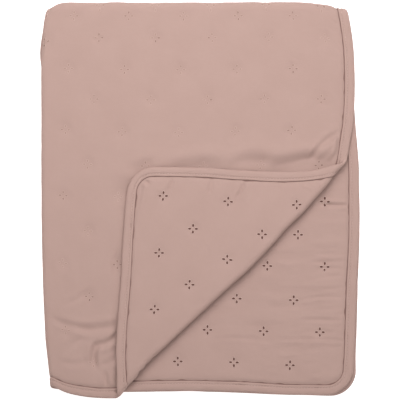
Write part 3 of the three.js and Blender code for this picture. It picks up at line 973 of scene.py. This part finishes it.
# the painted seam shadow: a dark shade colour painted along the binding's inner edge, wider at the gathers
seam = {
    "at": 13.0,
    "width": 0.42,
    "gatheredWidth": 9.0,
    "gatheredLevel": 0.42,
    "gathers": 60.0,
    "reach": 1.4,
    "strength": 0.66,
    "color": (0.12, 0.055, 0.045),
}
bindingLook = dict(quiltLook, mottle=0.18)
smallLook = dict(quiltLook, coords="Object")
threadLook = dict(
    smallLook, color=(0.47, 0.34, 0.3), dark=(0.41, 0.285, 0.248), light=(0.54, 0.405, 0.36),
    crinkle=0.05, sheen=0.25,
)
# painted shade: the dark colour of the discs that fill the eyelet holes in front, for the shade inside them
holeShadeLook = dict(
    smallLook, color=(0.11, 0.05, 0.041), dark=(0.08, 0.033, 0.026), light=(0.15, 0.075, 0.064),
    sheen=0.0,
)
# painted shade: the colour of the discs in the eyelet holes behind, close to the cloth's and darker at
# random, for the shade inside them
pitShadeLook = dict(
    smallLook, color=(0.32, 0.205, 0.173), dark=(0.17, 0.096, 0.077), light=(0.38, 0.255, 0.22),
    mottle=1.6,
)

# the panel's cotton carries the painted seam shadow
quiltCotton = clothMaterial("quiltCotton", dict(quiltLook, seam=seam))
bindingCotton = clothMaterial("bindingCotton", bindingLook)
threadCotton = clothMaterial("threadCotton", threadLook)
holeShade = clothMaterial("holeShade", holeShadeLook)
pitShade = clothMaterial("pitShade", pitShadeLook)

points, faces, uvs = bindingPoints()
low, high = (np.array(corner) * 1000 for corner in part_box("binding"))
frameShift[:2] = ((low + high) / 2 - (points.min(0) + points.max(0)) / 2)[:2]
print("frame shift in mm", frameShift.round(2))
bindingPiece = makeMesh("bindingStrip", points, faces, uvs, bindingCotton)
points, faces, uvs = quiltPoints()
quiltPiece = makeMesh("quiltedPanel", points, faces, uvs, quiltCotton)
panelFaces = len(quiltPiece.data.polygons)
stripFaces = len(bindingPiece.data.polygons)
print("cloth made:", panelFaces, "faces in the panel,", stripFaces, "in the binding")


# Geometry Nodes: eyelets and stitches, set on points that carry their directions

def pointCloud(name, positions, up, along):
    mesh = bpy.data.meshes.new(name)
    mesh.from_pydata((positions + frameShift) * mm, [], [])
    for key, values in (("up", up), ("along", along)):
        attribute = mesh.attributes.new(key, "FLOAT_VECTOR", "POINT")
        attribute.data.foreach_set("vector", np.ascontiguousarray(values, float).ravel())
    return addObject(name, mesh)


# bends a baked piece, which stands level at each of its spots, round the folds of the cloth
def layOn(piece, spots, flatSpots, face):
    here, up, along = spots
    across = np.cross(up, along) * -face
    vertices = np.array([vertex.co for vertex in piece.data.vertices]) / mm - frameShift
    of = np.arange(len(vertices)) // (len(vertices) // len(here))
    off = vertices - here[of]
    u = flatSpots[of, 0] + (off * along[of]).sum(1)
    v = flatSpots[of, 1] + (off * across[of]).sum(1)
    height = panelHalf(u, v, face) + (off * up[of]).sum(1)
    laid = (place(u, v, face * height) + frameShift) * mm
    piece.data.vertices.foreach_set("co", laid.ravel())
    piece.data.update()


def unit(vectors):
    return vectors / np.linalg.norm(vectors, axis=1)[:, None]


# where points of a face lie, which way the face looks there and which way u runs
def surfaceFrame(u, v, face):
    half = lambda a, b: face * panelHalf(a, b, face)
    step = 0.6
    here = place(u, v, half(u, v))
    alongU = place(u + step, v, half(u + step, v)) - place(u - step, v, half(u - step, v))
    alongV = place(u, v + step, half(u, v + step)) - place(u, v - step, half(u, v - step))
    return here, unit(np.cross(alongV, alongU) * face), unit(alongU)


class Nodes:
    def __init__(self, name, inputs):
        self.group = bpy.data.node_groups.new(name, "GeometryNodeTree")
        self.group.interface.new_socket("Geometry", in_out="INPUT", socket_type="NodeSocketGeometry")
        self.ids = {}
        for key, value in inputs.items():
            socket = self.group.interface.new_socket(key, in_out="INPUT", socket_type="NodeSocketFloat")
            socket.default_value = value
            self.ids[key] = socket.identifier
        self.group.interface.new_socket("Geometry", in_out="OUTPUT", socket_type="NodeSocketGeometry")
        self.start = self.group.nodes.new("NodeGroupInput")
        self.end = self.group.nodes.new("NodeGroupOutput")

    def add(self, kind, inputs=None, output=0, **settings):
        node = self.group.nodes.new(kind)
        for key, value in settings.items():
            setattr(node, key, value)
        for key, value in (inputs or {}).items():
            self.feed(node.inputs[key], value)
        return node.outputs[output]

    def feed(self, socket, value):
        if isinstance(value, bpy.types.NodeSocket):
            self.group.links.new(value, socket)
        elif value is not None:
            socket.default_value = value

    def given(self, key):
        return self.start.outputs[key]

    def half(self, key):
        return self.add("ShaderNodeMath", {0: self.given(key), 1: 0.5}, operation="MULTIPLY")

    def join(self, parts):
        node = self.group.nodes.new("GeometryNodeJoinGeometry")
        for part in parts:
            self.group.links.new(part, node.inputs[0])
        return node.outputs[0]

    # stands a shape on every point, turned by the point's own directions, and ends the tree with that
    def stand(self, shape):
        up = self.add("GeometryNodeInputNamedAttribute", {"Name": "up"}, data_type="FLOAT_VECTOR")
        along = self.add("GeometryNodeInputNamedAttribute", {"Name": "along"}, data_type="FLOAT_VECTOR")
        upright = self.add("FunctionNodeAlignRotationToVector", {"Vector": up}, axis="Z")
        turning = {"Rotation": upright, "Vector": along}
        facing = self.add("FunctionNodeAlignRotationToVector", turning, axis="X", pivot_axis="Z")
        points = self.start.outputs["Geometry"]
        stood = {"Points": points, "Instance": shape, "Rotation": facing}
        placed = self.add("GeometryNodeInstanceOnPoints", stood)
        self.feed(self.end.inputs[0], self.add("GeometryNodeRealizeInstances", {"Geometry": placed}))

    def bake(self, cloud, name, values):
        modifier = cloud.modifiers.new("make", "NODES")
        modifier.node_group = self.group
        for key, value in values.items():
            modifier[self.ids[key]] = value
        graph = bpy.context.evaluated_depsgraph_get()
        mesh = bpy.data.meshes.new_from_object(cloud.evaluated_get(graph))
        mesh.name = name
        bpy.data.objects.remove(cloud)
        return addObject(name, mesh)


eyeletSizes = {
    "Petal Length": 4.6 * mm,
    "Petal Width": 3.1 * mm,
    "Petal Reach": 4.3 * mm,
    "Thread": 0.36 * mm,
    "Hole Lift": 0.14 * mm,
}


# four petals in a cross, each a stitched ring round a hole, the hole filled with a flat disc that carries a
# painted shade for the darkness inside it
def eyeletTree(name, ringMaterial, holeShadeMaterial):
    nodes = Nodes(name, eyeletSizes)
    halves = {"X": nodes.half("Petal Length"), "Y": nodes.half("Petal Width"), "Z": 1.0}
    scale = nodes.add("ShaderNodeCombineXYZ", halves)
    reach = nodes.add("ShaderNodeCombineXYZ", {"X": nodes.given("Petal Reach")})
    circle = nodes.add("GeometryNodeCurvePrimitiveCircle", {"Resolution": 14, "Radius": 1.0})
    outline = nodes.add("GeometryNodeTransform", {"Geometry": circle, "Translation": reach, "Scale": scale})
    threadSize = {"Resolution": 6, "Radius": nodes.given("Thread")}
    thread = nodes.add("GeometryNodeCurvePrimitiveCircle", threadSize)
    ring = nodes.add("GeometryNodeCurveToMesh", {"Curve": outline, "Profile Curve": thread})
    ring = nodes.add("GeometryNodeSetMaterial", {"Geometry": ring, "Material": ringMaterial})
    holeShadeDisc = nodes.add("GeometryNodeFillCurve", {0: outline}, mode="NGONS")
    lift = nodes.add("ShaderNodeCombineXYZ", {"Z": nodes.given("Hole Lift")})
    holeShadeDisc = nodes.add("GeometryNodeTransform", {"Geometry": holeShadeDisc, "Translation": lift})
    holeShadeDisc = nodes.add("GeometryNodeSetMaterial", {"Geometry": holeShadeDisc, "Material": holeShadeMaterial})
    petal = nodes.join([ring, holeShadeDisc])
    petals = []
    for quarter in range(4):
        turn = (0.0, 0.0, quarter * math.pi / 2)
        petals.append(nodes.add("GeometryNodeTransform", {"Geometry": petal, "Rotation": turn}))
    nodes.stand(nodes.join(petals))
    return nodes


# eyelets are made where they show: how far before or after the turned fold they may lie
shownLimits = {"top": -3, "flap": -2, "low": -14}


def isShown(points, face):
    past = pastTurn(abs(points[:, 0]), points[:, 1])
    if face > 0:
        return past < shownLimits["top"]
    onFlap = past > math.pi * turned["radius"] + shownLimits["flap"]
    return np.where(points[:, 0] > 0, onFlap, past > shownLimits["low"])


frontTree = eyeletTree("frontEyelets", threadCotton, holeShade)
backTree = eyeletTree("backEyelets", threadCotton, pitShade)

upperPoints = np.concatenate([outerEyelets, innerEyelets])
shownFront = upperPoints[isShown(upperPoints, -1)]
here, up, along = surfaceFrame(shownFront[:, 0], shownFront[:, 1], -1)
frontPiece = frontTree.bake(pointCloud("frontSpots", here, up, along), "frontEyelets", {})
layOn(frontPiece, (here, up, along), shownFront, -1)

shownBack = outerEyelets[isShown(outerEyelets, 1)]
backPoints = np.concatenate([shownBack, underEyelets])
here, up, along = surfaceFrame(backPoints[:, 0], backPoints[:, 1], 1)
backPiece = backTree.bake(
    pointCloud("backSpots", here, up, along), "backEyelets",
    {"Petal Length": 3.6 * mm, "Petal Width": 2.3 * mm, "Thread": 0.23 * mm, "Hole Lift": 0.1 * mm},
)
layOn(backPiece, (here, up, along), backPoints, 1)
print("eyelets made:", len(shownFront), "in front,", len(backPoints), "behind")

# the line of stitches that holds the binding, on both faces
stitchSizes = {"Length": 2.7 * mm, "Width": 0.5 * mm, "Height": 0.3 * mm}
stitchHeight = 2.02


def stitchTree():
    nodes = Nodes("bindingStitches", stitchSizes)
    halves = {"X": nodes.half("Length"), "Y": nodes.half("Width"), "Z": nodes.half("Height")}
    scale = nodes.add("ShaderNodeCombineXYZ", halves)
    bead = nodes.add("GeometryNodeMeshIcoSphere", {"Radius": 1.0, "Subdivisions": 1})
    bead = nodes.add("GeometryNodeTransform", {"Geometry": bead, "Scale": scale})
    bead = nodes.add("GeometryNodeSetShadeSmooth", {"Geometry": bead})
    bead = nodes.add("GeometryNodeSetMaterial", {"Geometry": bead, "Material": threadCotton})
    nodes.stand(bead)
    return nodes


def stitchPoints():
    stations = bindingStations()
    seamU = stations[:, 0] - stations[:, 2] * binding["seam"]
    seamV = stations[:, 1] - stations[:, 3] * binding["seam"]
    run = np.concatenate([[0], np.cumsum(np.hypot(np.diff(seamU), np.diff(seamV)))])
    at = np.arange(0, run[-1], binding["stitchPitch"])
    step = 0.5
    sideways = [np.interp(at + off, run, seamU) for off in (-step, 0.0, step)]
    lengthways = [np.interp(at + off, run, seamV) for off in (-step, 0.0, step)]
    found = []
    for face in (-1, 1):
        height = face * stitchHeight
        before, here, after = (place(a, b, height) for a, b in zip(sideways, lengthways))
        above = place(sideways[1], lengthways[1], height + face * step)
        found.append((here, unit(above - here), unit(after - before)))
    return [np.concatenate(parts) for parts in zip(*found)]


here, up, along = stitchPoints()
stitchPiece = stitchTree().bake(pointCloud("stitchSpots", here, up, along), "bindingStitches", {})
print("stitches made:", len(here))

# The floor, the light and the camera

studio = {
    "pixels": 400,
    "scale": 1.266,
    "height": 2400.0,
    "topLevel": 15.0,
    "middle": (-0.6, 0.0),
    "sensor": 36.0,
    "floorHalf": 6.0,
    "floorDrop": 0.0002,
    "floorColor": (0.93, 0.93, 0.93),
    "floorGlow": 0.75,
    "sky": 0.41,
    "skyColor": (1.0, 0.985, 0.97),
}


def makeStudio():
    floorMesh = bpy.data.meshes.new("floor")
    half = studio["floorHalf"]
    corners = [(-half, -half, 0), (half, -half, 0), (half, half, 0), (-half, half, 0)]
    floorMesh.from_pydata(corners, [], [[0, 1, 2, 3]])
    floor = addObject("floor", floorMesh)
    floor.location.z = -studio["floorDrop"]
    shader = Shader("floorPaper")
    shader.set("Base Color", (*studio["floorColor"], 1))
    shader.set("Roughness", 0.9)
    shader.set("Specular IOR Level", 0.1)
    shader.set("Emission Color", (*studio["floorColor"], 1))
    shader.set("Emission Strength", studio["floorGlow"])
    floorMesh.materials.append(shader.material)

    world = bpy.data.worlds.new("studio")
    bpy.context.scene.world = world
    world.use_nodes = True
    background = world.node_tree.nodes["Background"]
    background.inputs["Color"].default_value = (*studio["skyColor"], 1)
    background.inputs["Strength"].default_value = studio["sky"]

    lamps = namedRows(("name", "at", "size", "power"), [
        ("windowLight", (-0.3, 0.95, 1.6), 1.0, 7.5),
        ("roomLight", (0.9, -0.75, 1.1), 1.2, 4.0),
        ("softBox", (0.0, 0.45, 0.98), 1.1, 11.4),
    ])
    for lamp in lamps:
        data = bpy.data.lights.new(lamp["name"], "AREA")
        data.shape = "DISK"
        data.size = lamp["size"]
        data.energy = lamp["power"]
        light = addObject(lamp["name"], data)
        light.location = lamp["at"]
        light.rotation_euler = (-Vector(lamp["at"])).to_track_quat("-Z", "Y").to_euler()

    lens = bpy.data.cameras.new("camera")
    distance = studio["height"] - studio["topLevel"]
    lens.sensor_width = studio["sensor"]
    lens.lens = studio["sensor"] * distance / (studio["pixels"] * studio["scale"])
    lens.clip_end = 20.0
    camera = addObject("camera", lens)
    camera.location = Vector((*studio["middle"], studio["height"])) * mm
    bpy.context.scene.camera = camera
    bpy.context.scene.view_settings.view_transform = "Standard"


makeStudio()

for piece, slotName in (
    (quiltPiece, "quilted_cotton"),
    (bindingPiece, "binding_cotton"),
    (frontPiece, "quilted_cotton"),
    (backPiece, "quilted_cotton"),
    (stitchPiece, "binding_cotton"),
):
    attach(piece, "root")
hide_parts("quilt")
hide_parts("binding")
